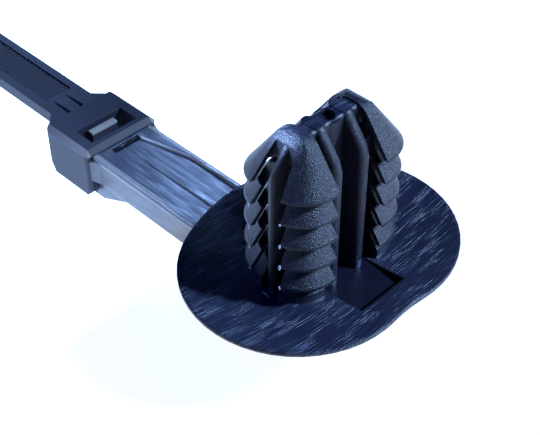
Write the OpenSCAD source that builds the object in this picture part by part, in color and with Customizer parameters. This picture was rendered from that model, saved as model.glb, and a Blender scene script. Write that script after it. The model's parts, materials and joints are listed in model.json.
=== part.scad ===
// Cable tie with an oval fir tree mount, moulded in one piece from nylon.
// The tree's axis is +Z, and the origin lies where it meets the dished disc's upper face.
// +X runs from the tree along the neck to the ratchet head and the strap, +Y along the oval.

/* [Fir tree] */
// Number of barbed fins on each quarter of the tree, the cap included
fin_count = 5; // [3:1:5]
// Height from one fin tip to the next
fin_pitch = 2.1; // [1.85:0.05:2.15]
// Height of the cap's tip above the disc
top_tip_z = 10.5; // [9.9:0.1:11.5]
// Radius of the fin tips about a lobe's axis
tip_r = 3.19; // [3:0.01:3.4]
// Distance of a lobe's axis from the middle of the tree, across the oval
lobe_x = 0.78; // [0.7:0.02:1]
// Distance of a lobe's axis from the middle of the tree, along the oval
lobe_y = 3.09; // [2.9:0.01:3.6]
// Slope of a fin from the level
fin_slope = 54; // [50:1:57]
// Thickness of a fin, square to its slope
fin_t = 0.95; // [0.7:0.05:1]
// Thickness of the lip that runs along a fin's edge
lip_t = 0.36; // [0.25:0.01:0.4]
// Radius of the crown on top of a lobe, before its rounding
crown_r = 0.5; // [0.44:0.02:0.56]
// Radius of the rounding around the crown
crown_round = 1.8; // [1.2:0.05:2]
// Radius of the core behind the fins
core_r = 1; // [0.9:0.02:1.2]
// Radius of the plinth lobes that centre the tree in its hole
plinth_r = 2.48; // [2.2:0.02:2.6]
// Height of the plinth lobes above the disc
plinth_h = 1; // [0.6:0.05:1.2]
// Width of the slot between the two plinth lobes of one end
plinth_slot = 1.8; // [1.2:0.1:2.4]

/* [Spine] */
// Thickness of the long web at the ends of the tree
web_t = 0.6; // [0.5:0.05:0.9]
// Distance of the web's ends from the middle of the tree
web_y = 5.65; // [5.3:0.05:5.9]
// Thickness of the web between the cross ribs
waist_t = 1.6; // [1.4:0.1:1.8]
// Clear width between the two cross ribs
rib_gap = 1.9; // [1.7:0.1:2.1]
// Thickness of a cross rib
rib_t = 0.95; // [0.7:0.05:1]
// Width of a cross rib across the oval
rib_w = 5.74; // [5.2:0.02:6]
// Width of a cross rib's crest, between its shoulders
crest_w = 1.84; // [1.6:0.02:2]
// Width of the bridge over the spine
bridge_w = 1.7; // [1.5:0.02:1.8]
// Depth of the bridge's top below the crown
bridge_drop = 0.12; // [0.05:0.01:0.2]
// Radius of the bridge's long top edges
bridge_round = 0.3; // [0.1:0.05:0.4]
// Diameter of the blind hole in the bridge
dimple_d = 1.36; // [1:0.02:1.4]
// Depth of the blind hole in the bridge
dimple_h = 0.5; // [0.3:0.05:0.8]
// Wall of the boss around the blind hole
boss_wall = 0.34; // [0.3:0.02:0.4]

/* [Disc] */
// Width of the oval disc
disc_w = 18.4; // [16:0.1:22]
// Length of the oval disc
disc_l = 24; // [22.5:0.1:28]
// Bulge of the disc's long side over the neck, past its round ends
flank_bulge = 0.6; // [0.2:0.05:1]
// Radius of the slight waist in the disc's other long side
waist_r = 10; // [6:0.5:30]
// Height of the disc's rim above its middle
disc_dish = 1.14; // [0.6:0.02:1.5]
// Thickness of the disc in the middle
disc_t = 1; // [0.8:0.05:1.4]
// Thickness of the disc at its rim
rim_t = 0.3; // [0.2:0.05:0.6]
// Length of the flat pockets beside the tree, from its middle
pocket_x = 6.5; // [5:0.1:7.5]
// Width of the flat pockets beside the tree
pocket_w = 4.9; // [4.5:0.1:6]

/* [Neck] */
// Width of the neck
neck_w = 7; // [6:0.1:7.4]
// Thickness of the neck
neck_t = 3; // [2.4:0.1:3.4]
// Drop from the disc's middle to the neck's top
neck_drop = 1.8; // [1.6:0.1:2.4]
// Reach of the neck under the disc, past the tree's axis
neck_tail = 4; // [3.5:0.1:5]
// Radius of the neck's long edges
neck_round = 0.4; // [0.2:0.05:0.6]
// Depth of the channel along the neck's top
channel_d = 0.3; // [0.25:0.05:0.6]
// Width of the channel where it starts at the head
channel_w = 3.1; // [2.6:0.1:4]
// Length over which the channel widens
channel_flare = 5.6; // [4:0.1:8]
// Width of the rails beside the channel
rail_w = 0.6; // [0.5:0.05:0.9]
// Width of the ridge along the channel's floor
ridge_w = 0.5; // [0.3:0.05:0.8]
// Height of the ridge along the channel's floor
ridge_h = 0.18; // [0.1:0.02:0.24]

/* [Head] */
// Distance from the tree's axis to the head's front
head_x = 24.8; // [20:0.1:32]
// Width of the head
head_w = 8.2; // [7.8:0.1:9]
// Height of the head
head_h = 5; // [4.8:0.1:6]
// Rise of the head's top above the neck's top
head_rise = 0.5; // [0.3:0.05:0.8]
// Thickness of the wall in front of the slot
front_wall = 1; // [0.8:0.05:1.4]
// Thickness of the wall behind the pawl
back_wall = 2.7; // [2.2:0.05:3.2]
// Chamfer along the head's top edges
head_chamfer = 0.5; // [0.3:0.05:0.6]
// Gap around the strap in the head's slot
slot_clear = 0.25; // [0.15:0.05:0.4]
// Width of the pawl
pawl_w = 2.9; // [2.4:0.1:3]
// Thickness of the pawl's tongue
pawl_t = 0.65; // [0.5:0.05:0.75]

/* [Strap] */
// Length of the strap from the head to its tip
strap_l = 150; // [90:1:200]
// Width of the strap
strap_w = 4.7; // [4.2:0.1:5]
// Thickness of the strap
strap_t = 1.2; // [1:0.05:1.4]
// Depth of the strap's face below the head's top
strap_drop = 0.3; // [0.2:0.05:0.4]
// Pitch of the strap's teeth
tooth_pitch = 0.6; // [0.5:0.05:1.2]
// Depth of the strap's teeth
tooth_d = 0.3; // [0.2:0.05:0.4]
// Width of the smooth rails beside the teeth
strap_rail_w = 0.85; // [0.7:0.05:1.2]
// Plain length between the head and the first tooth
root_l = 3.4; // [3:0.1:8]
// Length of the tapered tail
tail_l = 24; // [15:1:35]
// Width of the tail at its tip
tip_w = 2.4; // [1.8:0.1:3]

/* [Hidden] */
$fn = 64;
nylon_black = "#23252f";
overlap = 0.05;
reach = disc_w + disc_l;

// Fins: each outer face is a cone about its lobe's axis
fin_run = tan(fin_slope);
fin_rise = fin_t / cos(fin_slope);
catch_r = tip_r - fin_rise / fin_run;
core_step = 0.15;
core_top_r = core_r - core_step;
cap_under_r = 0.6;
lip_w = lip_t / sin(fin_slope);
lip_band = 1;
band_r = tip_r - lip_band;
lip_foot_r = tip_r - lip_w + overlap / fin_run;
clear_r = tip_r + lip_t;
crown_in_r = crown_r - lip_t * tan(fin_slope / 2);
crown_lean = 12;
function tip_z(k) = top_tip_z - k * fin_pitch;
function cone_z(z, r) = z + (tip_r - r) * fin_run;
core_top_z = cone_z(tip_z(1), core_top_r);
tree_h = cone_z(top_tip_z, crown_r);
crown_axis_z = tree_h - crown_round * cos(crown_lean);
crown_z = crown_axis_z + crown_round * cos(fin_slope);
crown_axis_r = tip_r - (crown_z - top_tip_z) / fin_run - crown_round * sin(fin_slope);
plinth_top_z = plinth_h + (plinth_r - core_top_r) * fin_run;
cap_under_z = cone_z(top_tip_z - fin_rise, cap_under_r);

// Gaps beside the fins: the lips reach further into them than the fins do
rib_gap_side = 0.65;
lip_reach = 0.45;
rib_out = rib_gap / 2 + rib_t;
lip_y = rib_out + rib_gap_side;
fin_y = lip_y + lip_reach;
flank_in = 1.87;
fin_x = lobe_x + tip_r - flank_in;
slot_y = lobe_y + core_r - overlap;
lip_turn = 76;
core_x = lobe_x + core_r - overlap;
cap_in_x = 0.92;

// Spine: the web's ends and the ribs' shoulders slope like the fins
bridge_z = tree_h - bridge_drop;
rib_round = 0.42;
rib_ease = 0.16;
rib_z = tree_h - overlap;
web_round = 0.26;
web_ease = 0.08;
web_z = cone_z(top_tip_z, slot_y - lobe_y) - overlap;
rim_skin = 0.01;
web_foot_h = 0.8;
web_foot_z = plinth_h + web_foot_h;
web_foot_in = 0.2;

// Disc: a dished sheet with round ends
disc_r = disc_w / 2;
disc_y = disc_l / 2 - disc_r;
dish_r = (disc_r * disc_r + disc_dish * disc_dish) / (2 * disc_dish);
belly = disc_t + disc_dish - rim_t;
belly_r = (disc_r * disc_r + belly * belly) / (2 * belly);
flank_axis = (disc_y * disc_y - flank_bulge * flank_bulge) / (2 * flank_bulge);
flank_r = disc_r + flank_bulge + flank_axis;
flank_y = disc_y * flank_r / (flank_r - disc_r);
waist_axis = sqrt(pow(disc_r + waist_r, 2) - disc_y * disc_y);
waist_x = waist_axis * disc_r / (disc_r + waist_r);
waist_y = disc_y * waist_r / (disc_r + waist_r);

// Neck and head: heights follow from the neck's top
neck_z = -neck_drop;
neck_bottom_z = neck_z - neck_t;
pedestal_in = 0.5;
pedestal_round = 1;
head_z = neck_z + head_rise;
head_bottom_z = head_z - head_h;
slot_x = head_x + front_wall;
slot_w = strap_w + 2 * slot_clear;
pawl_swing = 0.35;
slot_l = strap_t + slot_clear + pawl_t + pawl_swing;
slot_end_x = slot_x + slot_l;
head_end_x = slot_end_x + back_wall;
head_l = head_end_x - head_x;
head_round = 0.4;
back_rake = 0.8;
back_rake_h = 1.6;
side_fillet = 1.5;
under_fillet = 5;
under_land = 1;
under_rise = 0.1;
under_in = 0.2;
pawl_gap = 0.3;
pawl_back_x = slot_end_x - pawl_gap;
pawl_front_x = pawl_back_x - pawl_t;
pawl_sink = 0.4;
pawl_top_z = head_z - pawl_sink;
pawl_lift = 0.9;
pawl_tip_z = head_bottom_z + pawl_lift;
pawl_lean = 0.15;
hinge_drop = 0.3;
hinge_z = pawl_top_z - hinge_drop;
hinge_t = 0.8;
channel_end_x = neck_tail - neck_t / 2;
channel_gap = 0.45;
channel_start_x = head_x - channel_gap;
ridge_gap = 3.4;
ridge_end_x = channel_start_x - ridge_gap;

// Strap: its face lies just under the head's top
strap_z = head_z - strap_drop;
strap_end_x = head_end_x + strap_l;
track_w = strap_w - 2 * strap_rail_w;
teeth_x = head_end_x + root_l;
teeth = floor((strap_l - root_l - tail_l) / tooth_pitch);
tooth_land = 0.05;
root_rib_y = 0.75;
root_rib_w = 0.5;
root_fillet = 1.4;

// A rectangle about the origin with round corners
module round_rect(w, h, r) {
    square([w - 2 * r, h], center = true);
    square([w, h - 2 * r], center = true);
    for (x = [-1, 1], y = [-1, 1])
        translate([x * (w / 2 - r), y * (h / 2 - r)])
            circle(r);
}

// An outline in the plane of X and Z, drawn out to a width across Y
module across(w) {
    translate([0, w / 2, 0])
        rotate([90, 0, 0])
            linear_extrude(w)
                children();
}

// An outline in the plane of Y and Z, drawn out along X from a start to an end
module along(x0, x1) {
    translate([x0, 0, 0])
        rotate([90, 0, 90])
            linear_extrude(x1 - x0)
                children();
}

// Half section of a quarter's core with every fin below the cap
module fin_section() {
    polygon(concat(
        [[0, -disc_t / 2], [core_r, -disc_t / 2]],
        [for (k = [fin_count - 1:-1:1]) let (top_r = k > 1 ? core_r : core_top_r) each [
            [core_r, cone_z(tip_z(k) - fin_rise, core_r)],
            [catch_r, tip_z(k)],
            [tip_r, tip_z(k)],
            [top_r, cone_z(tip_z(k), top_r)]
        ]],
        [[0, core_top_z]]
    ));
}

// Half section of a plinth lobe, which centres the tree in the panel's hole
module plinth_section() {
    polygon([
        [0, -disc_t / 2], [plinth_r, -disc_t / 2], [plinth_r, plinth_h],
        [core_top_r, plinth_top_z], [0, plinth_top_z]
    ]);
}

// Half section of the cap, which is the top fin closed over the crown
module cap_section() {
    polygon([
        [0, tree_h], [0, cap_under_z], [cap_under_r, cap_under_z],
        [catch_r, top_tip_z], [tip_r, top_tip_z], [crown_r, tree_h]
    ]);
}

// Half section of what the gaps take off the fins: all but a thin lip on each
module fin_gap_section() {
    polygon(concat(
        [[0, -disc_t], [clear_r, -disc_t]],
        [for (k = [fin_count - 1:-1:1]) each [
            [clear_r, tip_z(k) - overlap],
            [lip_foot_r, tip_z(k) - overlap],
            [band_r - lip_w, cone_z(tip_z(k), band_r)],
            [clear_r, cone_z(tip_z(k), band_r)]
        ]],
        [[clear_r, core_top_z + overlap], [0, core_top_z + overlap]]
    ));
}

// Half section of what the gaps take off the cap: all under its lip
module cap_gap_section() {
    polygon([
        [0, top_tip_z - overlap], [lip_foot_r, top_tip_z - overlap],
        [crown_in_r, tree_h - lip_t], [0, tree_h - lip_t]
    ]);
}

// Plan of one quarter out to its lips, whose end edge points at the lobe's axis
module lip_plan() {
    polygon([
        [0, lip_y], [reach, lip_y], [reach, reach],
        [lobe_x + reach * cos(lip_turn), lobe_y + reach * sin(lip_turn)],
        [lobe_x + (slot_y - lobe_y) / tan(lip_turn), slot_y], [0, slot_y]
    ]);
}

// Plan of one quarter's gaps: beside the cross rib and beside the web
module gap_plan(inner_x) {
    translate([inner_x, 0])
        square([reach, fin_y]);
    translate([0, slot_y])
        square([fin_x, reach]);
}

// Plan of one quarter's plinth lobe, beside the slot at the end of the tree
module plinth_plan() {
    difference() {
        translate([0, fin_y])
            square(reach);
        translate([plinth_slot / 2 - reach, slot_y])
            square(reach);
    }
}

// A section turned about the axis of one lobe, and run straight on towards the middle
module lobed() {
    translate([lobe_x, lobe_y, 0]) {
        rotate_extrude()
            children();
        rotate([90, 0, 0])
            linear_extrude(lobe_y)
                children();
    }
}

// Upright block over a plan, tall enough to hold the tree
module tall_block() {
    translate([0, 0, -disc_t])
        linear_extrude(tree_h + 2 * disc_t)
            children();
}

// One quarter of the fir tree, with its core, fins, cap and plinth lobe
module quarter() {
    difference() {
        intersection() {
            lobed()
                fin_section();
            tall_block() {
                lip_plan();
                translate([0, rib_out - overlap])
                    square([core_x, fin_y - rib_out]);
            }
        }
        intersection() {
            lobed()
                fin_gap_section();
            tall_block()
                gap_plan(core_x);
        }
    }
    difference() {
        intersection() {
            lobed()
                cap_section();
            tall_block()
                lip_plan();
        }
        intersection() {
            lobed()
                cap_gap_section();
            tall_block()
                gap_plan(cap_in_x);
        }
    }
    intersection() {
        lobed()
            plinth_section();
        tall_block()
            plinth_plan();
    }
}

// Core and cap between the two lobes of one end
module end_middle() {
    translate([-lobe_x, rib_out - overlap, -disc_t / 2])
        cube([2 * lobe_x, slot_y - rib_out + overlap, core_top_z + disc_t / 2]);
    translate([-lobe_x, lip_y, cap_under_z])
        cube([2 * lobe_x, lobe_y - lip_y + overlap, tree_h - cap_under_z]);
    intersection() {
        translate([0, lobe_y, 0])
            along(-lobe_x, lobe_x)
                cap_section();
        translate([-reach / 2, 0, 0])
            cube([reach, slot_y, tree_h]);
    }
}

// Outline of what the rounding takes off the crown, outside a lobe's axis
module crown_cut(axis) {
    difference() {
        translate([axis + crown_axis_r, crown_z])
            square(2 * crown_round);
        translate([axis + crown_axis_r, crown_axis_z])
            circle(crown_round);
    }
}

// All that the rounding takes off one end: along its slope and on both its sides
module crown_waste() {
    along(-reach / 2, reach / 2)
        crown_cut(lobe_y);
    for (side = [0, 1])
        mirror([side, 0, 0])
            across(reach)
                crown_cut(lobe_x);
}

// Slab with a round upper edge, below a line that falls towards +X from a point over the X axis
module slope_slab(point, slope, t, r) {
    translate([point[0], 0, point[1]])
        rotate([0, slope, 0])
            along(-reach, reach)
                translate([0, -reach / 2])
                    round_rect(t + 2 * rim_skin, reach, r + rim_skin);
}

// Upright plate with a round rim, whose shoulders fall from a crest to both ends and are eased there
module shouldered_plate(w, t, r, crest, top_z, ease) {
    steep = (fin_slope + 90) / 2;
    knee = [w / 2 - ease * sin(steep), top_z - (w / 2 - crest) * fin_run - ease * cos(steep)];
    intersection() {
        translate([0, 0, -disc_t / 2])
            linear_extrude(top_z + disc_t / 2)
                round_rect(w, t, r);
        slope_slab([crest, top_z], fin_slope, t, r);
        mirror([1, 0, 0])
            slope_slab([crest, top_z], fin_slope, t, r);
        slope_slab(knee, steep, t, r);
        mirror([1, 0, 0])
            slope_slab(knee, steep, t, r);
    }
}

// Cross rib, with its shoulders sloped like the fins
module rib() {
    translate([0, rib_gap / 2 + rib_t / 2, 0])
        shouldered_plate(rib_w, rib_t, rib_round, crest_w / 2, rib_z, rib_ease);
}

// Long web whose ends stand in the end slots, on a slightly smaller foot
module web() {
    rotate(90)
        difference() {
            shouldered_plate(2 * web_y, web_t, web_round, slot_y, web_z, web_ease);
            for (side = [0, 1])
                mirror([side, 0, 0])
                    translate([web_y - web_foot_in, -web_t, -disc_t])
                        cube([web_foot_in + overlap, 2 * web_t, disc_t + web_foot_z]);
        }
}

// Bridge over the spine, round along its top edges, with a boss around its blind hole
module bridge() {
    bridge_h = bridge_z - cap_under_z;
    difference() {
        union() {
            intersection() {
                across(2 * (lip_y + overlap))
                    translate([0, bridge_z - bridge_h])
                        round_rect(bridge_w, 2 * bridge_h, bridge_round);
                translate([-reach / 2, -reach / 2, cap_under_z])
                    cube([reach, reach, reach]);
            }
            translate([0, 0, cap_under_z])
                cylinder(d = dimple_d + 2 * boss_wall, h = bridge_h - bridge_round / 2);
        }
        translate([0, 0, bridge_z - dimple_h])
            cylinder(d = dimple_d, h = 2 * dimple_h);
    }
}

// Long web, waist, two cross ribs and the bridge on top of them
module spine() {
    web();
    translate([-waist_t / 2, -rib_out, -disc_t / 2])
        cube([waist_t, 2 * rib_out, cap_under_z + overlap + disc_t / 2]);
    for (side = [0, 1])
        mirror([0, side, 0])
            rib();
    bridge();
}

// The whole tree: a spine and two ends of two lobes each
module fir_tree() {
    spine();
    for (end = [0, 1])
        mirror([0, end, 0])
            difference() {
                union() {
                    end_middle();
                    for (side = [0, 1])
                        mirror([side, 0, 0])
                            quarter();
                }
                crown_waste();
            }
}

// Outline of the disc: two round ends, a convex flank over the neck and a slight waist
module disc_plan() {
    for (end = [-1, 1])
        translate([0, end * disc_y])
            circle(disc_r);
    intersection() {
        translate([0, -flank_y])
            square([flank_r, 2 * flank_y]);
        translate([-flank_axis, 0])
            circle(flank_r);
    }
    difference() {
        translate([-waist_x, -waist_y])
            square([waist_x + overlap, 2 * waist_y]);
        translate([-waist_axis, 0])
            circle(waist_r);
    }
}

// Half section of the dished disc about one of its end axes, a little past its rim
module disc_section() {
    intersection() {
        translate([0, -disc_t])
            square([disc_r + flank_bulge + overlap, disc_t + 2 * disc_dish]);
        difference() {
            translate([0, belly_r - disc_t])
                circle(belly_r);
            translate([0, dish_r])
                circle(dish_r);
        }
    }
}

// Dished oval disc, cut to its outline, with a flat pocket on each side of the tree
module disc() {
    difference() {
        intersection() {
            union() {
                for (end = [0, 1])
                    mirror([0, end, 0])
                        translate([0, disc_y, 0])
                            rotate_extrude(angle = 180)
                                disc_section();
                across(2 * disc_y)
                    union() {
                        disc_section();
                        mirror([1, 0])
                            disc_section();
                    }
            }
            translate([0, 0, -disc_t])
                linear_extrude(2 * (disc_t + disc_dish))
                    disc_plan();
        }
        translate([-pocket_x, -pocket_w / 2, 0])
            cube([2 * pocket_x, pocket_w, disc_t + disc_dish]);
    }
}

// Plan of the channel, which widens from the head's end on both sides
module channel_plan() {
    wide = neck_w / 2 - rail_w;
    polygon([
        [channel_start_x, channel_w / 2], [channel_start_x - channel_flare, wide], [channel_end_x, wide],
        [channel_end_x, -wide], [channel_start_x - channel_flare, -wide], [channel_start_x, -channel_w / 2]
    ]);
}

// Neck under the disc: a beam with a ridged channel along its top, flared into the head
module neck() {
    difference() {
        union() {
            along(-neck_tail, head_x + overlap)
                translate([0, neck_z - neck_t / 2])
                    round_rect(neck_w, neck_t, neck_round);
            translate([0, 0, neck_z - neck_t / 2])
                linear_extrude(neck_t / 2 + neck_drop - disc_t / 2)
                    round_rect(2 * (neck_tail - pedestal_in), neck_w - 2 * pedestal_in, pedestal_round);
        }
        translate([0, 0, neck_z - channel_d])
            linear_extrude(neck_t)
                channel_plan();
    }
    translate([channel_end_x, -ridge_w / 2, neck_z - channel_d - overlap])
        cube([ridge_end_x - channel_end_x, ridge_w, ridge_h + overlap]);
    across(neck_w - under_in)
        polygon([
            [head_x - under_fillet, neck_bottom_z + neck_round], [head_x - under_land, head_bottom_z + under_rise],
            [head_x + head_chamfer, head_bottom_z + under_rise], [head_x + head_chamfer, neck_bottom_z + neck_round]
        ]);
    translate([0, 0, neck_bottom_z + neck_round])
        linear_extrude(neck_t - 2 * neck_round)
            polygon([
                [head_x - side_fillet, neck_w / 2 - overlap], [head_x + head_chamfer, head_w / 2 - overlap],
                [head_x + head_chamfer, overlap - head_w / 2], [head_x - side_fillet, overlap - neck_w / 2]
            ]);
}

// Ratchet head with its strap slot and pawl
module head() {
    difference() {
        intersection() {
            translate([head_x + head_l / 2, 0, head_bottom_z])
                linear_extrude(head_h)
                    round_rect(head_l, head_w, head_round);
            across(head_w)
                polygon([
                    [head_x, head_bottom_z + head_chamfer], [head_x + head_chamfer, head_bottom_z],
                    [head_end_x - back_rake, head_bottom_z], [head_end_x, head_bottom_z + back_rake_h],
                    [head_end_x, head_z], [head_x + head_chamfer, head_z], [head_x, head_z - head_chamfer]
                ]);
            along(head_x, head_end_x)
                polygon([
                    [-head_w / 2, head_bottom_z], [head_w / 2, head_bottom_z], [head_w / 2, head_z - head_chamfer],
                    [head_w / 2 - head_chamfer, head_z], [head_chamfer - head_w / 2, head_z],
                    [-head_w / 2, head_z - head_chamfer]
                ]);
        }
        translate([slot_x, -slot_w / 2, head_bottom_z - overlap])
            cube([slot_l, slot_w, head_h + 2 * overlap]);
    }
    pawl();
}

// Pawl that hangs from the back wall into the slot, with its free tip at the way out
module pawl() {
    across(pawl_w)
        polygon([
            [slot_end_x + overlap, hinge_z], [pawl_back_x, hinge_z],
            [pawl_back_x, pawl_top_z], [pawl_front_x, pawl_top_z],
            [pawl_front_x - pawl_lean, pawl_tip_z], [pawl_back_x - pawl_lean, pawl_tip_z],
            [pawl_back_x, hinge_z - hinge_t], [slot_end_x + overlap, hinge_z - hinge_t]
        ]);
}

// Outline of the strap's teeth, cut from its upper face down
module teeth_section() {
    polygon(concat(
        [[teeth_x, strap_z + tooth_d], [teeth_x, strap_z]],
        [for (i = [0:teeth - 1]) each [
            [teeth_x + i * tooth_pitch, strap_z - tooth_d],
            [teeth_x + (i + 1) * tooth_pitch, strap_z - tooth_land]
        ]],
        [[teeth_x + teeth * tooth_pitch, strap_z + tooth_d]]
    ));
}

// Strap with teeth in a sunken track along its upper face, a ribbed root and a tapered tail
module strap() {
    difference() {
        translate([0, 0, strap_z - strap_t])
            linear_extrude(strap_t) {
                polygon([
                    [head_end_x - overlap, -strap_w / 2], [strap_end_x - tail_l, -strap_w / 2],
                    [strap_end_x, -tip_w / 2], [strap_end_x, tip_w / 2],
                    [strap_end_x - tail_l, strap_w / 2], [head_end_x - overlap, strap_w / 2]
                ]);
                polygon([
                    [head_end_x - overlap, head_round - head_w / 2], [head_end_x, head_round - head_w / 2],
                    [head_end_x + root_fillet, -strap_w / 2], [head_end_x + root_fillet, strap_w / 2],
                    [head_end_x, head_w / 2 - head_round], [head_end_x - overlap, head_w / 2 - head_round]
                ]);
            }
        across(track_w)
            teeth_section();
    }
    for (side = [-1, 1])
        translate([0, side * root_rib_y, 0])
            across(root_rib_w)
                polygon([
                    [head_end_x - overlap, strap_z - overlap], [head_end_x - overlap, head_z - overlap],
                    [head_end_x + root_l / 2, strap_z + strap_drop / 2], [teeth_x, strap_z - overlap]
                ]);
}

// The whole tie, moulded in one piece
module fir_tree_tie() {
    color(nylon_black) {
        fir_tree();
        disc();
        neck();
        head();
        strap();
    }
}

fir_tree_tie();
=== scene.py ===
"""One-piece nylon cable tie with an oval fir tree mount, dressed for a white studio table."""

import json
import logging
import math
from dataclasses import dataclass, field
from enum import Enum
from typing import Any

import bpy
from mathutils import Matrix, Vector

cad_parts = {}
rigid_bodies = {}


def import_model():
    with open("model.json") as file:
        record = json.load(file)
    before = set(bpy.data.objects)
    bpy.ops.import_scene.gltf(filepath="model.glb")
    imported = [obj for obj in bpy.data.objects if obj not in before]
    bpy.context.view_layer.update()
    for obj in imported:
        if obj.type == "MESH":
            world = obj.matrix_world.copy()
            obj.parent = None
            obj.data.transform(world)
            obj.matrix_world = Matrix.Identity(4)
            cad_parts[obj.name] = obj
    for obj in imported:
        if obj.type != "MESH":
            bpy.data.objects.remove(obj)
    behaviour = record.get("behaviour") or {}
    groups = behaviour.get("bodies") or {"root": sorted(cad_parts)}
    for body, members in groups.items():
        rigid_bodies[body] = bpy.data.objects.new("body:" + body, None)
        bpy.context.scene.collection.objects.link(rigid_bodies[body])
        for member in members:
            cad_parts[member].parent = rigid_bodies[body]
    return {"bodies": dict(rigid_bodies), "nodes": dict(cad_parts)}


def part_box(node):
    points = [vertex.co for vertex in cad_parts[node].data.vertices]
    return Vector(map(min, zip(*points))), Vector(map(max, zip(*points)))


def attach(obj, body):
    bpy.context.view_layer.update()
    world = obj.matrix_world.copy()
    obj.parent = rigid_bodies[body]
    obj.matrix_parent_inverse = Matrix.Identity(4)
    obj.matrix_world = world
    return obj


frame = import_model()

FRAME_OBJECTS = [*frame["bodies"].values(), *frame["nodes"].values()]
for stray in [o for o in bpy.data.objects if o not in FRAME_OBJECTS]:
    bpy.data.objects.remove(stray)
bpy.context.view_layer.update()

MM = 0.001
TIE_NODE = "fir_tree_tie"

# The side of the studio where the camera stands, in degrees round +Z from -Y
FRONT_AZIMUTH = 225

# Blender's names for the nodes that are used most
MATH = "ShaderNodeMath"
VECTOR_MATH = "ShaderNodeVectorMath"
MAP_RANGE = "ShaderNodeMapRange"
MIX = "ShaderNodeMix"
SPLIT = "ShaderNodeSeparateXYZ"
NOISE = "ShaderNodeTexNoise"
BUMP = "ShaderNodeBump"
PLACE = "ShaderNodeTexCoord"
SHADER = "ShaderNodeBsdfPrincipled"
SURFACE = "ShaderNodeOutputMaterial"

# The value that a noise swings round
NOISE_MIDDLE = 0.5

Tree = bpy.types.NodeTree
Socket = bpy.types.NodeSocket

log = logging.getLogger("fir_tree_tie")


def linear(hex_colour: str) -> tuple[float, float, float, float]:
    """Turns an sRGB hex colour into linear red, green, blue and alpha.

    Args:
        hex_colour: six hex digits, with a leading hash.

    Returns:
        The linear colour, with an alpha of 1.
    """
    parts = [int(hex_colour[i:i + 2], 16) / 255 for i in (1, 3, 5)]
    red, green, blue = (c / 12.92 if c <= 0.04045 else ((c + 0.055) / 1.055) ** 2.4 for c in parts)
    return red, green, blue, 1.0


def direction(azimuth: float, elevation: float) -> Vector:
    """Unit vector towards a place in the studio.

    Args:
        azimuth: degrees round +Z, with 0 at -Y and 90 at +X.
        elevation: degrees above the table.

    Returns:
        The unit vector from the object towards that place.
    """
    a, e = math.radians(azimuth), math.radians(elevation)
    return Vector((math.sin(a) * math.cos(e), -math.cos(a) * math.cos(e), math.sin(e)))


def add_node(tree: Tree, kind: str, inputs: dict | tuple = (), **settings: Any) -> bpy.types.Node:
    """Adds a node with its settings and links.

    Args:
        tree: the node tree that gets the node.
        kind: the node's type name.
        inputs: a value, or the output socket that feeds it, for each input. A tuple gives them in the
            order of the node's sockets, and a dict by a socket's name or number.
        settings: the node's own options.

    Returns:
        The new node.
    """
    node = tree.nodes.new(kind)
    for name, value in settings.items():
        setattr(node, name, value)
    given = inputs if isinstance(inputs, dict) else dict(enumerate(inputs))
    for key, value in given.items():
        if isinstance(value, Socket):
            tree.links.new(value, node.inputs[key])
        else:
            node.inputs[key].default_value = value
    return node


def new_material(name: str) -> bpy.types.Material:
    """Starts a material with an empty node tree.

    Args:
        name: the material's name.

    Returns:
        The material.
    """
    material = bpy.data.materials.new(name)
    material.use_nodes = True
    material.node_tree.nodes.clear()
    return material


def new_geometry_tree(name: str, sizes: tuple[str, ...]) -> Tree:
    """Starts a Geometry Nodes tree with one geometry in and out.

    Args:
        name: the tree's name.
        sizes: the names of its number inputs.

    Returns:
        The tree, which has no nodes yet.
    """
    tree = bpy.data.node_groups.new(name, "GeometryNodeTree")
    tree.interface.new_socket("Geometry", in_out="INPUT", socket_type="NodeSocketGeometry")
    for size in sizes:
        tree.interface.new_socket(size, in_out="INPUT", socket_type="NodeSocketFloat")
    tree.interface.new_socket("Geometry", in_out="OUTPUT", socket_type="NodeSocketGeometry")
    return tree


def set_inputs(modifier: bpy.types.NodesModifier, values: dict[str, Any]) -> None:
    """Sets a Geometry Nodes modifier's inputs.

    Args:
        modifier: the modifier.
        values: each input's value by its name.
    """
    for item in modifier.node_group.interface.items_tree:
        if item.in_out == "INPUT" and item.name in values:
            modifier[item.identifier] = values[item.name]


class Stretch(Enum):
    """The stretches of the tie that were cut into the mould in different ways."""

    TREE = "tree"
    DISC = "disc"
    POCKET = "pocket"
    NECK = "neck"
    HEAD = "head"


Masks = dict[Stretch, Socket]


@dataclass(frozen=True)
class TreeSizes:
    """The fir tree's sizes that its finish and its flash follow, in millimetres.

    A lobe's axis is given in one quarter, and the other three mirror it.
    """

    lobe_mm: tuple[float, float] = (0.78, 3.09)
    tip_r_mm: float = 3.19
    top_tip_mm: float = 10.5
    fin_pitch_mm: float = 2.1
    fins: int = 5


@dataclass(frozen=True)
class MouldFinish:
    """How one stretch of the mould was worked, which the nylon repeats.

    The cells are the size of the marks along X, Y and Z, the detail is how many finer layers they have,
    and the edge is the radius to which sharp edges are softened.
    """

    roughness: float
    cell_mm: tuple[float, float, float]
    depth_mm: float
    detail: float
    edge_mm: float


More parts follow.
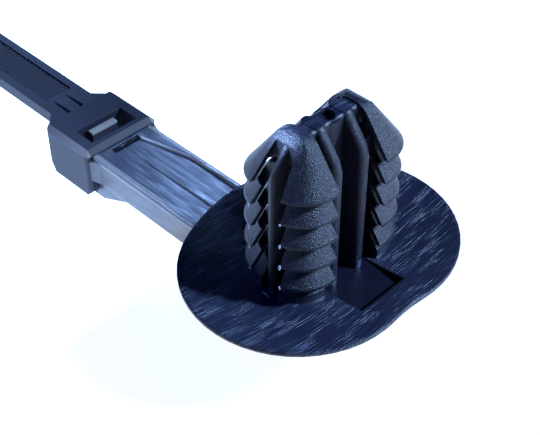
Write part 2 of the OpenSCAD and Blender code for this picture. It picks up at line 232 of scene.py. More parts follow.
@dataclass(frozen=True)
class MouldedNylon:
    """Heat-stabilised black PA66, injection moulded in a steel tool.

    The tree's cavities are spark eroded, so its fins are matt and grained, and the grain's tops get a paler
    colour as a painted highlight. The disc's cavity is ground, which leaves fine streaks along the oval; they
    are bumped, and their glints are also painted in a paler colour. The neck is polished and shows mottled
    flow marks, and the head and the strap are satin. All places and sizes are in millimetres.
    """

    name: str = "PA66_black_moulded"
    ior: float = 1.53
    sizes: TreeSizes = TreeSizes()

    # Blue-black, a shade paler on the disc, with painted highlights in paler colours on streaks, specks and
    # edges
    shadow_hex: str = "#100f1a"
    body_hex: str = "#18182e"
    disc_hex: str = "#24273c"
    disc_share: float = 0.7
    streak_glint_hex: str = "#7488b4"
    streak_glint_share: float = 0.4
    speck_highlight_hex: str = "#363d50"
    painted_highlight_hex: str = "#85807c"

    # Spark-eroded pits and grinding scratches are a few hundredths of a millimetre wide, too fine to show, so
    # the tree's grain and the disc's streaks are drawn a little coarser than the real ones
    tree: MouldFinish = MouldFinish(0.45, (0.072, 0.072, 0.072), 0.05, 0.0, 0.0)
    disc: MouldFinish = MouldFinish(0.4, (0.075, 2.4, 40.0), 0.035, 1.0, 0.35)
    pocket: MouldFinish = MouldFinish(0.34, (2.0, 2.0, 2.0), 0.02, 1.0, 0.0)
    neck: MouldFinish = MouldFinish(0.36, (3.0, 0.7, 0.7), 0.05, 1.0, 0.15)
    head: MouldFinish = MouldFinish(0.64, (1.5, 0.8, 0.8), 0.03, 2.0, 0.12)
    edge_samples: int = 6

    # Which values of a noise show: the grain's specks, which get a painted highlight, the streaks, and their
    # bands
    speck_range: tuple[float, float] = (0.56, 0.72)
    streak_range: tuple[float, float] = (0.46, 0.74)
    band_range: tuple[float, float] = (0.3, 0.65)
    band_mm: tuple[float, float, float] = (1.2, 5.0, 40.0)
    band_detail: float = 1.0

    # The melt's flow clouds the colour and mottles the neck's gloss
    cloud_mm: float = 1.6
    flow_detail: float = 2.0
    mottle: float = 0.3

    # Where the stretches meet: the tree's oval column, its bare bridge, the disc, the pockets and the head
    tree_half_mm: tuple[float, float] = (5.0, 7.4)
    tree_floor_mm: float = 0.75
    bridge_floor_mm: float = 13.95
    bridge_half_mm: float = 2.2
    disc_floor_mm: float = -1.25
    disc_reach_mm: float = 14.0
    pocket_mm: float = 0.05
    head_start_mm: float = 24.7

    # The fins' rims are rounded over this height outside this radius round a lobe's axis
    rim_r_mm: float = 3.0
    rim_mm: float = 0.14

    # The neck's normals lean a little towards the head, and those of its channel are made more level. The
    # channel lies within this half width and above this height
    neck_lean_deg: float = 8.0
    channel_mm: tuple[float, float] = (2.95, -2.4)
    channel_calm: float = 0.93

    # Painted highlights in a paler colour: on the channel's walls, which face sideways by more than this
    # slope, on the neck's rails and the head's edges, beyond these half widths and above these heights, and
    # in the box at the pawl's top
    wall_slope: float = 0.3
    rail_mm: tuple[float, float] = (2.95, -2.25)
    edge_mm: tuple[float, float] = (3.62, -1.82)
    edge_highlight_share: float = 0.7
    pawl_mm: tuple[float, float, float] = (27.6, 0.0, -1.75)
    pawl_half_mm: tuple[float, float, float] = (0.5, 1.5, 0.2)

    def build(self) -> bpy.types.Material:
        """Builds the material, with its finishes told apart by place.

        Returns:
            The finished material.
        """
        material = new_material(self.name)
        tree = material.node_tree
        place = add_node(tree, PLACE).outputs["Object"]
        mm = add_node(tree, VECTOR_MATH, {0: place, "Scale": 1 / MM}, operation="SCALE").outputs[0]
        masks = self.masks(tree, mm)
        shader = add_node(tree, SHADER, {
            "Base Color": self.colour(tree, mm, masks),
            "Roughness": self.roughness(tree, mm, masks),
            "Normal": self.relief(tree, mm, masks),
            "IOR": self.ior,
        })
        add_node(tree, SURFACE, {"Surface": shader.outputs[0]})
        return material

    def finish(self, stretch: Stretch) -> MouldFinish:
        """The finish of one stretch."""
        return getattr(self, stretch.value)

    def masks(self, tree: Tree, mm: Socket) -> Masks:
        """Tells the stretches of the tie apart.

        Args:
            tree: the material's node tree.
            mm: the place in millimetres.

        Returns:
            For each stretch, a socket that is 1 on it and 0 elsewhere.
        """
        axes = add_node(tree, SPLIT, (mm,)).outputs
        oval = (1 / self.tree_half_mm[0], 1 / self.tree_half_mm[1], 0.0)
        flat = add_node(tree, VECTOR_MATH, (mm, oval), operation="MULTIPLY").outputs[0]
        spread = add_node(tree, VECTOR_MATH, (flat,), operation="LENGTH").outputs["Value"]
        inside = add_node(tree, MATH, (spread, 1.0), operation="LESS_THAN").outputs[0]
        above = add_node(tree, MATH, (axes["Z"], self.tree_floor_mm), operation="GREATER_THAN").outputs[0]
        column = add_node(tree, MATH, (inside, above), operation="MULTIPLY").outputs[0]
        high = add_node(tree, MATH, (axes["Z"], self.bridge_floor_mm), operation="GREATER_THAN").outputs[0]
        middle = add_node(tree, MATH, (axes["Y"], 0.0, self.bridge_half_mm), operation="COMPARE").outputs[0]
        bridge = add_node(tree, MATH, (high, middle), operation="MULTIPLY").outputs[0]
        on_tree = add_node(tree, MATH, (column, bridge), operation="SUBTRACT").outputs[0]
        over_neck = add_node(tree, MATH, (axes["Z"], self.disc_floor_mm), operation="GREATER_THAN").outputs[0]
        near = add_node(tree, MATH, (axes["X"], self.disc_reach_mm), operation="LESS_THAN").outputs[0]
        sheet = add_node(tree, MATH, (over_neck, near), operation="MULTIPLY").outputs[0]
        ground = add_node(tree, MATH, (sheet, on_tree), operation="SUBTRACT").outputs[0]
        dished = add_node(tree, MATH, (axes["Z"], self.pocket_mm), operation="GREATER_THAN").outputs[0]
        on_disc = add_node(tree, MATH, (ground, dished), operation="MULTIPLY").outputs[0]
        on_pocket = add_node(tree, MATH, (ground, on_disc), operation="SUBTRACT").outputs[0]
        below = add_node(tree, MATH, (1.0, sheet), operation="SUBTRACT").outputs[0]
        before = add_node(tree, MATH, (axes["X"], self.head_start_mm), operation="LESS_THAN").outputs[0]
        on_neck = add_node(tree, MATH, (below, before), operation="MULTIPLY").outputs[0]
        on_head = add_node(tree, MATH, (below, on_neck), operation="SUBTRACT").outputs[0]
        return {
            Stretch.TREE: on_tree, Stretch.DISC: on_disc, Stretch.POCKET: on_pocket,
            Stretch.NECK: on_neck, Stretch.HEAD: on_head,
        }

    @staticmethod
    def cells(tree: Tree, mm: Socket, cell_mm: tuple[float, float, float], detail: float) -> Socket:
        """Lays irregular marks of a real size.

        Args:
            tree: the material's node tree.
            mm: the place in millimetres.
            cell_mm: the marks' size along X, Y and Z.
            detail: how many finer layers they have.

        Returns:
            The socket with the noise that draws them.
        """
        scale = tuple(1 / size for size in cell_mm)
        spaced = add_node(tree, VECTOR_MATH, (mm, scale), operation="MULTIPLY").outputs[0]
        return add_node(tree, NOISE, {"Vector": spaced, "Scale": 1.0, "Detail": detail}).outputs[0]

    def streaks(self, tree: Tree, mm: Socket) -> Socket:
        """Lays sparse grinding streaks along the oval.

        Args:
            tree: the material's node tree.
            mm: the place in millimetres.

        Returns:
            A socket that is 1 in the middle of a streak and 0 between them.
        """
        lines = self.cells(tree, mm, self.disc.cell_mm, self.disc.detail)
        low, high = self.streak_range
        marks = add_node(tree, MAP_RANGE, {
            "Value": lines, "From Min": low, "From Max": high,
        }, interpolation_type="SMOOTHSTEP").outputs[0]
        patches = self.cells(tree, mm, self.band_mm, self.band_detail)
        low, high = self.band_range
        bands = add_node(tree, MAP_RANGE, {
            "Value": patches, "From Min": low, "From Max": high,
        }).outputs[0]
        return add_node(tree, MATH, (marks, bands), operation="MULTIPLY").outputs[0]

    def painted_speck_highlights(self, tree: Tree, mm: Socket) -> Socket:
        """Finds the tops of the tree's grain, whose paler colour is a painted highlight of the light they
        catch.

        Args:
            tree: the material's node tree.
            mm: the place in millimetres.

        Returns:
            A socket that is 1 on the tops and 0 between them.
        """
        grain = self.cells(tree, mm, self.tree.cell_mm, self.tree.detail)
        low, high = self.speck_range
        return add_node(tree, MAP_RANGE, {
            "Value": grain, "From Min": low, "From Max": high,
        }, interpolation_type="SMOOTHSTEP").outputs[0]

    def colour(self, tree: Tree, mm: Socket, masks: Masks) -> Socket:
        """Lays the colours over each other: flow clouds, the disc, and the painted highlights of streaks,
        specks and edges.

        Args:
            tree: the material's node tree.
            mm: the place in millimetres.
            masks: 1 on each stretch.

        Returns:
            The socket with the colour.
        """
        on_disc, on_tree = masks[Stretch.DISC], masks[Stretch.TREE]
        cloud = self.cells(tree, mm, (self.cloud_mm,) * 3, self.flow_detail)
        ground = add_node(tree, MATH, (on_disc, self.disc_share), operation="MULTIPLY").outputs[0]
        # The streaks' paler colour is a painted glint, laid over their bumps
        given = (self.streaks(tree, mm), self.streak_glint_share)
        painted_streak_glint = add_node(tree, MATH, given, operation="MULTIPLY").outputs[0]
        streak_glint_on_disc = add_node(tree, MATH, (painted_streak_glint, on_disc), operation="MULTIPLY").outputs[0]
        # Painted highlight: the grain's tops are paler
        speck_highlight_on_tree = add_node(tree, MATH, (self.painted_speck_highlights(tree, mm), on_tree), operation="MULTIPLY").outputs[0]
        layers = (
            (cloud, self.body_hex),
            (ground, self.disc_hex),
            (streak_glint_on_disc, self.streak_glint_hex),
            (speck_highlight_on_tree, self.speck_highlight_hex),
            (self.painted_highlights(tree, mm, masks), self.painted_highlight_hex),
        )
        colour = linear(self.shadow_hex)
        for share, hex_colour in layers:
            colour = add_node(tree, MIX, {
                "Factor": share, "A": colour, "B": linear(hex_colour),
            }, data_type="RGBA").outputs["Result"]
        return colour

    def channel(self, tree: Tree, mm: Socket, masks: Masks) -> Socket:
        """Finds the channel along the neck's top.

        Args:
            tree: the material's node tree.
            mm: the place in millimetres.
            masks: 1 on each stretch.

        Returns:
            A socket that is 1 in the channel and 0 elsewhere.
        """
        half, floor = self.channel_mm
        axes = add_node(tree, SPLIT, (mm,)).outputs
        inside = add_node(tree, MATH, (axes["Y"], 0.0, half), operation="COMPARE").outputs[0]
        upper = add_node(tree, MATH, (axes["Z"], floor), operation="GREATER_THAN").outputs[0]
        zone = add_node(tree, MATH, (inside, upper), operation="MULTIPLY").outputs[0]
        return add_node(tree, MATH, (zone, masks[Stretch.NECK]), operation="MULTIPLY").outputs[0]

    def painted_highlights(self, tree: Tree, mm: Socket, masks: Masks) -> Socket:
        """Finds where paler highlights are painted: the pawl's top, the channel's walls, the neck's rails and
        the head's edges.

        Args:
            tree: the material's node tree.
            mm: the place in millimetres.
            masks: 1 on each stretch.

        Returns:
            The socket with the paler colour's share.
        """
        # All that is found here gets a painted highlight in a paler colour
        from_pawl = add_node(tree, VECTOR_MATH, (mm, self.pawl_mm), operation="SUBTRACT").outputs[0]
        reach = add_node(tree, VECTOR_MATH, (from_pawl, self.pawl_half_mm), operation="DIVIDE").outputs[0]
        size = add_node(tree, VECTOR_MATH, (reach,), operation="ABSOLUTE").outputs[0]
        highlighted = 1.0
        for side in add_node(tree, SPLIT, (size,)).outputs:
            within = add_node(tree, MATH, (side, 1.0), operation="LESS_THAN").outputs[0]
            highlighted = add_node(tree, MATH, (within, highlighted), operation="MULTIPLY").outputs[0]
        face = add_node(tree, "ShaderNodeNewGeometry").outputs["True Normal"]
        across = add_node(tree, SPLIT, (face,)).outputs["Y"]
        slope = add_node(tree, MATH, (across,), operation="ABSOLUTE").outputs[0]
        steep = add_node(tree, MATH, (slope, self.wall_slope), operation="GREATER_THAN").outputs[0]
        wall = add_node(tree, MATH, (self.channel(tree, mm, masks), steep), operation="MULTIPLY").outputs[0]
        highlighted = add_node(tree, MATH, (highlighted, wall), operation="MAXIMUM").outputs[0]
        axes = add_node(tree, SPLIT, (mm,)).outputs
        aside = add_node(tree, MATH, (axes["Y"],), operation="ABSOLUTE").outputs[0]
        for stretch, (half, floor) in ((Stretch.NECK, self.rail_mm), (Stretch.HEAD, self.edge_mm)):
            outer = add_node(tree, MATH, (aside, half), operation="GREATER_THAN").outputs[0]
            upper = add_node(tree, MATH, (axes["Z"], floor), operation="GREATER_THAN").outputs[0]
            corner = add_node(tree, MATH, (outer, upper), operation="MULTIPLY").outputs[0]
            strip = add_node(tree, MATH, (corner, masks[stretch]), operation="MULTIPLY").outputs[0]
            edge_highlight = add_node(tree, MATH, (strip, self.edge_highlight_share), operation="MULTIPLY").outputs[0]
            highlighted = add_node(tree, MATH, (highlighted, edge_highlight), operation="MAXIMUM").outputs[0]
        return highlighted

    def roughness(self, tree: Tree, mm: Socket, masks: Masks) -> Socket:
        """Adds up the finishes' roughness by place, and mottles the neck's.

        Args:
            tree: the material's node tree.
            mm: the place in millimetres.
            masks: 1 on each stretch.

        Returns:
            The socket with the roughness.
        """
        total = 0.0
        for stretch, mask in masks.items():
            given = (mask, self.finish(stretch).roughness, total)
            total = add_node(tree, MATH, given, operation="MULTIPLY_ADD").outputs[0]
        flow = self.cells(tree, mm, self.neck.cell_mm, self.flow_detail)
        swing = add_node(tree, MATH, (flow, NOISE_MIDDLE), operation="SUBTRACT").outputs[0]
        mottled = add_node(tree, MATH, (swing, self.mottle), operation="MULTIPLY").outputs[0]
        given = (mottled, masks[Stretch.NECK], total)
        return add_node(tree, MATH, given, operation="MULTIPLY_ADD").outputs[0]

    def relief(self, tree: Tree, mm: Socket, masks: Masks) -> Socket:
        """Lays the marks of each stretch of the mould over soft edges.

        Args:
            tree: the material's node tree.
            mm: the place in millimetres.
            masks: 1 on each stretch.

        Returns:
            The socket with the finished normal.
        """
        radius = 0.0
        for stretch, mask in masks.items():
            given = (mask, self.finish(stretch).edge_mm * MM, radius)
            radius = add_node(tree, MATH, given, operation="MULTIPLY_ADD").outputs[0]
        normal = add_node(tree, "ShaderNodeBevel", {"Radius": radius}, samples=self.edge_samples).outputs[0]
        normal = self.rims(tree, mm, self.calm_neck(tree, mm, masks, normal))
        for stretch, mask in masks.items():
            marks = self.finish(stretch)
            if stretch is Stretch.DISC:
                height = self.streaks(tree, mm)
            else:
                height = self.cells(tree, mm, marks.cell_mm, marks.detail)
            normal = add_node(tree, BUMP, {
                "Strength": mask, "Distance": marks.depth_mm * MM, "Height": height, "Normal": normal,
            }).outputs[0]
        return normal

    def calm_neck(self, tree: Tree, mm: Socket, masks: Masks, normal: Socket) -> Socket:
        """Levels the channel's normals, then leans the neck's towards the head.

        Args:
            tree: the material's node tree.
            mm: the place in millimetres.
            masks: 1 on each stretch.
            normal: the normal so far.

        Returns:
            The socket with the neck's normal.
        """
        given = (self.channel(tree, mm, masks), self.channel_calm)
        share = add_node(tree, MATH, given, operation="MULTIPLY").outputs[0]
        level = add_node(tree, MIX, {
            "Factor": share, "A": normal, "B": (0.0, 0.0, 1.0),
        }, data_type="VECTOR").outputs["Result"]
        calm = add_node(tree, VECTOR_MATH, (level,), operation="NORMALIZE").outputs[0]
        along = add_node(tree, SPLIT, (mm,)).outputs["X"]
        fall = -math.tan(math.radians(self.neck_lean_deg))
        lean = add_node(tree, MATH, (along, fall), operation="MULTIPLY").outputs[0]
        return add_node(tree, BUMP, {
            "Strength": masks[Stretch.NECK], "Distance": MM, "Height": lean, "Normal": calm,
        }).outputs[0]

    def rims(self, tree: Tree, mm: Socket, normal: Socket) -> Socket:
        """Rounds the fins' thin rims over, which the solid leaves sharp.

        Args:
            tree: the material's node tree.
            mm: the place in millimetres.
            normal: the normal so far.

        Returns:
            The socket with the rounded normal.
        """
        axis = (*self.sizes.lobe_mm, 0.0)
        fold = add_node(tree, VECTOR_MATH, (mm,), operation="ABSOLUTE").outputs[0]
        from_lobe = add_node(tree, VECTOR_MATH, (fold, axis), operation="SUBTRACT").outputs[0]
        flat = add_node(tree, VECTOR_MATH, (from_lobe, (1.0, 1.0, 0.0)), operation="MULTIPLY").outputs[0]
        radius = add_node(tree, VECTOR_MATH, (flat,), operation="LENGTH").outputs["Value"]
        outer = add_node(tree, MATH, (radius, self.rim_r_mm), operation="GREATER_THAN").outputs[0]
        height = add_node(tree, SPLIT, (mm,)).outputs["Z"]
        above = add_node(tree, MATH, (height, self.tree_floor_mm), operation="GREATER_THAN").outputs[0]
        on_rims = add_node(tree, MATH, (outer, above), operation="MULTIPLY").outputs[0]
        over = add_node(tree, MATH, (height, self.sizes.fin_pitch_mm), operation="MODULO").outputs[0]
        drop = add_node(tree, MAP_RANGE, {
            "Value": over, "From Min": 0.0, "From Max": self.rim_mm, "To Max": self.rim_mm,
        }, interpolation_type="SMOOTHERSTEP").outputs[0]
        return add_node(tree, BUMP, {
            "Strength": on_rims, "Distance": MM, "Height": drop, "Normal": normal,
        }).outputs[0]


@dataclass(frozen=True)
class GlintPaintedFlash:
    """The same PA66 in thin slivers, painted whitish and a little cloudy as the glints they catch."""

    name: str = "PA66_flash_painted_glint"
    bright_glint_hex: str = "#dce2f4"
    dim_glint_hex: str = "#a4aeca"
    cell_mm: float = 0.12
    detail: float = 1.0
    roughness: float = 0.35

    def build(self) -> bpy.types.Material:
        """Builds the material.

        Returns:
            The finished material.
        """
        material = new_material(self.name)
        tree = material.node_tree
        place = add_node(tree, PLACE).outputs["Object"]
        cloud = add_node(tree, NOISE, {
            "Vector": place, "Scale": 1 / (self.cell_mm * MM), "Detail": self.detail,
        }).outputs[0]
        # Painted glint: a whitish colour, clouded by noise
        colour = add_node(tree, MIX, {
            "Factor": cloud, "A": linear(self.dim_glint_hex), "B": linear(self.bright_glint_hex),
        }, data_type="RGBA").outputs["Result"]
        shader = add_node(tree, SHADER, {"Base Color": colour, "Roughness": self.roughness})
        add_node(tree, SURFACE, {"Surface": shader.outputs[0]})
        return material


@dataclass(frozen=True)
class SeamlessPaper:
    """Matt white paper, overexposed as in a product photo, so that it shows hardly any shadow.

    It glows more strongly beside the neck and the strap, and fades towards the front.
    """

    name: str = "white_seamless_paper"
    paper_hex: str = "#8a9099"
    roughness: float = 0.9
    glow_hex: str = "#eff4ff"
    glow: float = 1.06
    side_hex: str = "#b4d2ff"
    side_glow: float = 4.0
    side_range_mm: tuple[float, float] = (11.0, 20.0)
    front_range_mm: tuple[float, float] = (23.0, 45.0)
    front_share: float = 0.1

    def build(self) -> bpy.types.Material:
        """Builds the material.

        Returns:
            The finished material.
        """
        material = new_material(self.name)
        tree = material.node_tree
        place = add_node(tree, PLACE).outputs["Object"]
        along = add_node(tree, SPLIT, (place,)).outputs["X"]
        low, high = self.side_range_mm
        beside = add_node(tree, MAP_RANGE, {
            "Value": along, "From Min": low * MM, "From Max": high * MM,
        }, interpolation_type="SMOOTHSTEP").outputs[0]
        tint = add_node(tree, MIX, {
            "Factor": beside, "A": linear(self.glow_hex), "B": linear(self.side_hex),
        }, data_type="RGBA").outputs["Result"]
        strength = add_node(tree, MIX, {
            "Factor": beside, "A": self.glow, "B": self.side_glow,
        }).outputs["Result"]
        front = direction(FRONT_AZIMUTH, 0)
        near = add_node(tree, VECTOR_MATH, (place, front), operation="DOT_PRODUCT").outputs["Value"]
        low, high = self.front_range_mm
        fade = add_node(tree, MAP_RANGE, {
            "Value": near, "From Min": low * MM, "From Max": high * MM,
            "To Min": 1.0, "To Max": self.front_share,
        }, interpolation_type="SMOOTHSTEP").outputs[0]
        faded = add_node(tree, MATH, (strength, fade), operation="MULTIPLY").outputs[0]
        shader = add_node(tree, SHADER, {
            "Base Color": linear(self.paper_hex), "Roughness": self.roughness,
            "Emission Color": tint, "Emission Strength": faded,
        })
        add_node(tree, SURFACE, {"Surface": shader.outputs[0]})
        return material


@dataclass
class MouldedTie:
    """The tie itself, which keeps its solid's shape and gets its skin and finish here."""

    finish: MouldedNylon = field(default_factory=MouldedNylon)
    weld_mm: float = 0.001
    crease_deg: float = 28.0

    def dress(self) -> None:
        """Gives the tie a smooth skin and its nylon finish."""
        material = self.finish.build()
        tie = frame["nodes"][TIE_NODE]
        for slot in tie.material_slots:
            slot.material = material
        skin = tie.modifiers.new("moulded_skin", "NODES")
        skin.node_group = self.skin_tree()
        set_inputs(skin, {
            "Weld distance": self.weld_mm * MM, "Crease angle": math.radians(self.crease_deg),
        })
        normals = tie.modifiers.new("level_faces", "WEIGHTED_NORMAL")
        normals.keep_sharp = True
        log.info("%s dressed in %s", tie.name, material.name)

    @staticmethod
    def skin_tree() -> Tree:
        """Builds the tree that joins loose triangles and shades round faces smooth up to each crease.

        Returns:
            The node tree, with inputs for the weld's distance and the crease's angle.
        """
        tree = new_geometry_tree("moulded_skin", ("Weld distance", "Crease angle"))
        given = add_node(tree, "NodeGroupInput").outputs
        bare = given["Geometry"]
        for name in ("custom_normal", "sharp_edge", "sharp_face"):
            bare = add_node(tree, "GeometryNodeRemoveAttribute", {"Geometry": bare, "Name": name}).outputs[0]
        welded = add_node(tree, "GeometryNodeMergeByDistance", {
            "Geometry": bare, "Distance": given["Weld distance"],
        }).outputs[0]
        smooth = add_node(tree, "GeometryNodeSetShadeSmooth", {
            "Geometry": welded, "Shade Smooth": True,
        }, domain="FACE").outputs[0]
        bend = add_node(tree, "GeometryNodeInputMeshEdgeAngle").outputs["Unsigned Angle"]
        sharp = add_node(tree, "FunctionNodeCompare", {
            0: bend, 1: given["Crease angle"],
        }, operation="GREATER_THAN").outputs[0]
        creased = add_node(tree, "GeometryNodeSetShadeSmooth", {
            "Geometry": smooth, "Selection": sharp, "Shade Smooth": False,
        }, domain="EDGE").outputs[0]
        add_node(tree, "NodeGroupOutput", {"Geometry": creased})
        return tree


@dataclass
class FlashNibs:
    """Slivers of flash where the mould closes: at the fins' slot-side tips and by the web's feet.

    The foot's place is that of its outermost sliver, and its steps are shares of that place's X. The width
    and the length are half the sliver's, and each sliver differs a little in size and lean.
    """

    sizes: TreeSizes = field(default_factory=TreeSizes)
    tip_turn_deg: float = 76.0
    foot_mm: tuple[float, float, float] = (0.3, 6.0, 0.05)
    foot_steps: tuple[float, ...] = (-1, -0.33, 0.33, 1)
    width_mm: float = 0.1
    length_mm: float = 0.24
    size_range: tuple[float, float] = (0.75, 1.25)
    lean_rad: float = 0.5
    ball_steps: int = 3
    seed: int = 4
    finish: GlintPaintedFlash = field(default_factory=GlintPaintedFlash)

    def places(self) -> list[Vector]:
        """Lists where the slivers stand: at the tips of all fins but the top ones, then at the feet.

        Returns:
            The places in metres.
        """
        turn = math.radians(self.tip_turn_deg)
        x = self.sizes.lobe_mm[0] + self.sizes.tip_r_mm * math.cos(turn)
        y = self.sizes.lobe_mm[1] + self.sizes.tip_r_mm * math.sin(turn)
        heights = [self.sizes.top_tip_mm - self.sizes.fin_pitch_mm * fin for fin in range(1, self.sizes.fins)]
        ways = (-1, 1)
        tips = [Vector((side * x, end * y, z)) for z in heights for side in ways for end in ways]
        foot_x, foot_y, foot_z = self.foot_mm
        feet = [Vector((step * foot_x, end * foot_y, foot_z)) for step in self.foot_steps for end in ways]
        return [place * MM for place in tips + feet]

    def build(self) -> None:
        """Makes the slivers as one piece that rides on the tie."""
        seats = bpy.data.meshes.new("flash_seats")
        seats.from_pydata(self.places(), [], [])
        nibs = bpy.data.objects.new("flash_nibs", seats)
        bpy.context.scene.collection.objects.link(nibs)
        spread = nibs.modifiers.new("slivers", "NODES")
        spread.node_group = self.sliver_tree(self.finish.build())
        set_inputs(spread, {"Width": self.width_mm * MM, "Length": self.length_mm * MM, "Seed": self.seed})
        ready = nibs.evaluated_get(bpy.context.evaluated_depsgraph_get())
        nibs.data = bpy.data.meshes.new_from_object(ready)
        nibs.modifiers.clear()
        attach(nibs, "root")
        log.info("%d slivers of flash added", len(self.places()))

    def sliver_tree(self, material: bpy.types.Material) -> Tree:
        """Builds the tree that sets an uneven, leaning sliver on every seat.

        Args:
            material: the slivers' material.

        Returns:
            The node tree, with inputs for the slivers' half width, half length and seed.
        """
        tree = new_geometry_tree("slivers", ("Width", "Length"))
        tree.interface.new_socket("Seed", in_out="INPUT", socket_type="NodeSocketInt")
        given = add_node(tree, "NodeGroupInput").outputs
        ball = add_node(tree, "GeometryNodeMeshIcoSphere", {
            "Radius": 1.0, "Subdivisions": self.ball_steps,
        }).outputs["Mesh"]
        size = add_node(tree, "ShaderNodeCombineXYZ", {
            "X": given["Width"], "Y": given["Width"], "Z": given["Length"],
        }).outputs[0]
        least, most = self.size_range
        vary = add_node(tree, "FunctionNodeRandomValue", {
            2: least, 3: most, "Seed": given["Seed"],
        }, data_type="FLOAT").outputs[1]
        uneven = add_node(tree, VECTOR_MATH, {0: size, "Scale": vary}, operation="SCALE").outputs[0]
        lean = add_node(tree, "FunctionNodeRandomValue", {
            0: (-self.lean_rad,) * 3, 1: (self.lean_rad,) * 3, "Seed": given["Seed"],
        }, data_type="FLOAT_VECTOR").outputs[0]
        set_out = add_node(tree, "GeometryNodeInstanceOnPoints", {
            "Points": given["Geometry"], "Instance": ball, "Rotation": lean, "Scale": uneven,
        }).outputs[0]
        solid = add_node(tree, "GeometryNodeRealizeInstances", (set_out,)).outputs[0]
        smooth = add_node(tree, "GeometryNodeSetShadeSmooth", {"Geometry": solid}, domain="FACE").outputs[0]
        dressed = add_node(tree, "GeometryNodeSetMaterial", {
            "Geometry": smooth, "Material": material,
        }).outputs[0]
        add_node(tree, "NodeGroupOutput", {"Geometry": dressed})
        return tree


class LampKind(Enum):
    """A soft box, or a lamp with a snoot that lights one small place."""

    SOFT_BOX = "AREA"
    SNOOT = "SPOT"


@dataclass(frozen=True)
class Lamp:
    """One lamp of the studio, aimed at a place on the tie.

    Angles are in degrees, lengths in metres apart from the target's, and power in watts. A snoot's width is
    its bulb's, which stays far smaller than its beam.
    """

    name: str
    azimuth: float
    elevation: float
    distance: float
    width: float
    height: float
    power: float
    tint_hex: str
    kind: LampKind = LampKind.SOFT_BOX
    beam_deg: float = 0.0
    target_mm: tuple[float, float, float] = (0.0, 0.0, 7.0)

    def build(self) -> None:
        """Sets the lamp up."""
        light = bpy.data.lights.new(self.name, self.kind.value)
        light.energy = self.power
        light.color = linear(self.tint_hex)[:3]
        if self.kind is LampKind.SOFT_BOX:
            light.shape = "RECTANGLE"
            light.size, light.size_y = self.width, self.height
        else:
            light.shadow_soft_size = self.width / 2
            light.spot_size, light.spot_blend = math.radians(self.beam_deg), 1.0
        lamp = bpy.data.objects.new(self.name, light)
        back = direction(self.azimuth, self.elevation)
        turn = back.to_track_quat("Z", "Y").to_matrix().to_4x4()
        lamp.matrix_world = Matrix.Translation(Vector(self.target_mm) * MM + back * self.distance) @ turn
        bpy.context.scene.collection.objects.link(lamp)


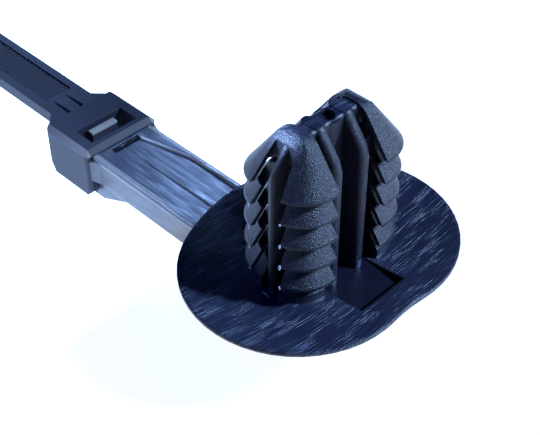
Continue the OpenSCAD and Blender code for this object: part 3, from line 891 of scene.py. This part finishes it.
@dataclass
class Studio:
    """White table, soft lamps and a bright horizon that darkens overhead and towards the camera.

    The horizon's ranges are heights on a unit ball, and its shade range is how far a place lies to the front.
    """

    floor_half: float = 1.5
    paper: SeamlessPaper = field(default_factory=SeamlessPaper)
    haze_hex: str = "#b4c6f2"
    haze_range: tuple[float, float] = (0.04, 0.14)
    horizon_hex: str = "#3a5cb4"
    zenith_hex: str = "#05070f"
    zenith_range: tuple[float, float] = (0.2, 0.5)
    shade_range: tuple[float, float] = (0.1, 0.75)
    shade_share: float = 0.05
    horizon_strength: float = 0.9
    lamps: tuple[Lamp, ...] = (
        Lamp("key_right", 307, 38, 0.45, 0.05, 0.05, 4.3, "#b0d4ff"),
        Lamp("lamp_left", 135, 39, 0.45, 0.06, 0.1, 0.3, "#4c7cff"),
        Lamp("strip_left", 118, 10, 0.5, 0.3, 0.06, 0.16, "#6c9cff"),
        Lamp("crown_snoot", 135, 39, 0.15, 0.001, 0, 6.4, "#a4c8ff", LampKind.SNOOT, 1.2, (0.0, 3.3, 13.2)),
        Lamp("neck_snoot", 54, 29, 0.4, 0.004, 0, 1.7, "#94bcff", LampKind.SNOOT, 2.6, (15.0, 0.0, -1.8)),
        Lamp("rail_snoot", 110, 45, 0.3, 0.004, 0, 5.0, "#a4c4ff", LampKind.SNOOT, 3.4, (19.5, 3.4, -2.0)),
        Lamp("strap_snoot", 60, 33, 0.4, 0.004, 0, 3.0, "#94bcff", LampKind.SNOOT, 4.0, (43.0, 0.0, -2.0)),
    )

    def build(self) -> None:
        """Builds the floor, the lamps and the world."""
        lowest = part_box(TIE_NODE)[0].z
        mesh = bpy.data.meshes.new("table")
        half = self.floor_half
        corners = [(x * half, y * half, lowest) for x, y in ((-1, -1), (1, -1), (1, 1), (-1, 1))]
        mesh.from_pydata(corners, [], [(0, 1, 2, 3)])
        mesh.materials.append(self.paper.build())
        table = bpy.data.objects.new("table", mesh)
        bpy.context.scene.collection.objects.link(table)
        for lamp in self.lamps:
            lamp.build()
        self.light_horizon()
        bpy.context.scene.view_settings.view_transform = "Standard"
        log.info("studio set with %d lamps", len(self.lamps))

    def light_horizon(self) -> None:
        """Makes the world bright near the horizon, and dark overhead and to the front."""
        world = bpy.data.worlds.new("studio_horizon")
        bpy.context.scene.world = world
        world.use_nodes = True
        tree = world.node_tree
        tree.nodes.clear()
        way = add_node(tree, PLACE).outputs["Generated"]
        height = add_node(tree, SPLIT, (way,)).outputs["Z"]
        colour = linear(self.haze_hex)
        layers = ((self.haze_range, self.horizon_hex), (self.zenith_range, self.zenith_hex))
        for (low, high), hex_colour in layers:
            rise = add_node(tree, MAP_RANGE, {
                "Value": height, "From Min": low, "From Max": high,
            }, interpolation_type="SMOOTHSTEP").outputs[0]
            colour = add_node(tree, MIX, {
                "Factor": rise, "A": colour, "B": linear(hex_colour),
            }, data_type="RGBA").outputs["Result"]
        front = direction(FRONT_AZIMUTH, 0)
        facing = add_node(tree, VECTOR_MATH, (way, front), operation="DOT_PRODUCT").outputs["Value"]
        low, high = self.shade_range
        shade = add_node(tree, MAP_RANGE, {
            "Value": facing, "From Min": low, "From Max": high, "To Min": 1.0, "To Max": self.shade_share,
        }, interpolation_type="SMOOTHSTEP").outputs[0]
        strength = add_node(tree, MATH, (shade, self.horizon_strength), operation="MULTIPLY").outputs[0]
        sky = add_node(tree, "ShaderNodeBackground", {"Color": colour, "Strength": strength})
        add_node(tree, "ShaderNodeOutputWorld", {"Surface": sky.outputs[0]})


@dataclass(frozen=True)
class PhotoCamera:
    """The camera where the photo was taken, fitted to the fin tips, ribs and disc."""

    eye_mm: tuple[float, float, float] = (-44.24, 49.84, 63.38)
    azimuth: float = 225.017
    elevation: float = 41.621
    roll: float = 0.108
    lens_mm: float = 77.303
    sensor_mm: float = 36.0
    clip: tuple[float, float] = (0.001, 10.0)

    def build(self) -> None:
        """Sets the camera up and makes it the scene's camera."""
        back = direction(self.azimuth, self.elevation)
        a = math.radians(self.azimuth)
        right = Vector((math.cos(a), math.sin(a), 0.0))
        right.rotate(Matrix.Rotation(math.radians(self.roll), 3, back))
        up = back.cross(right)
        data = bpy.data.cameras.new("photo_camera")
        data.lens, data.sensor_width = self.lens_mm, self.sensor_mm
        data.clip_start, data.clip_end = self.clip
        camera = bpy.data.objects.new("photo_camera", data)
        turn = Matrix((right, up, back)).transposed().to_4x4()
        camera.matrix_world = Matrix.Translation(Vector(self.eye_mm) * MM) @ turn
        bpy.context.scene.collection.objects.link(camera)
        bpy.context.scene.camera = camera
        log.info("camera placed")


def write_sizes() -> None:
    """Updates the view layer."""
    bpy.context.view_layer.update()


def main() -> None:
    """Builds the camera, the dressed tie, its flash and the studio in order."""
    logging.basicConfig(level=logging.INFO, format="%(name)s: %(message)s")
    PhotoCamera().build()
    MouldedTie().dress()
    FlashNibs().build()
    Studio().build()
    write_sizes()


if __name__ == "__main__":
    main()
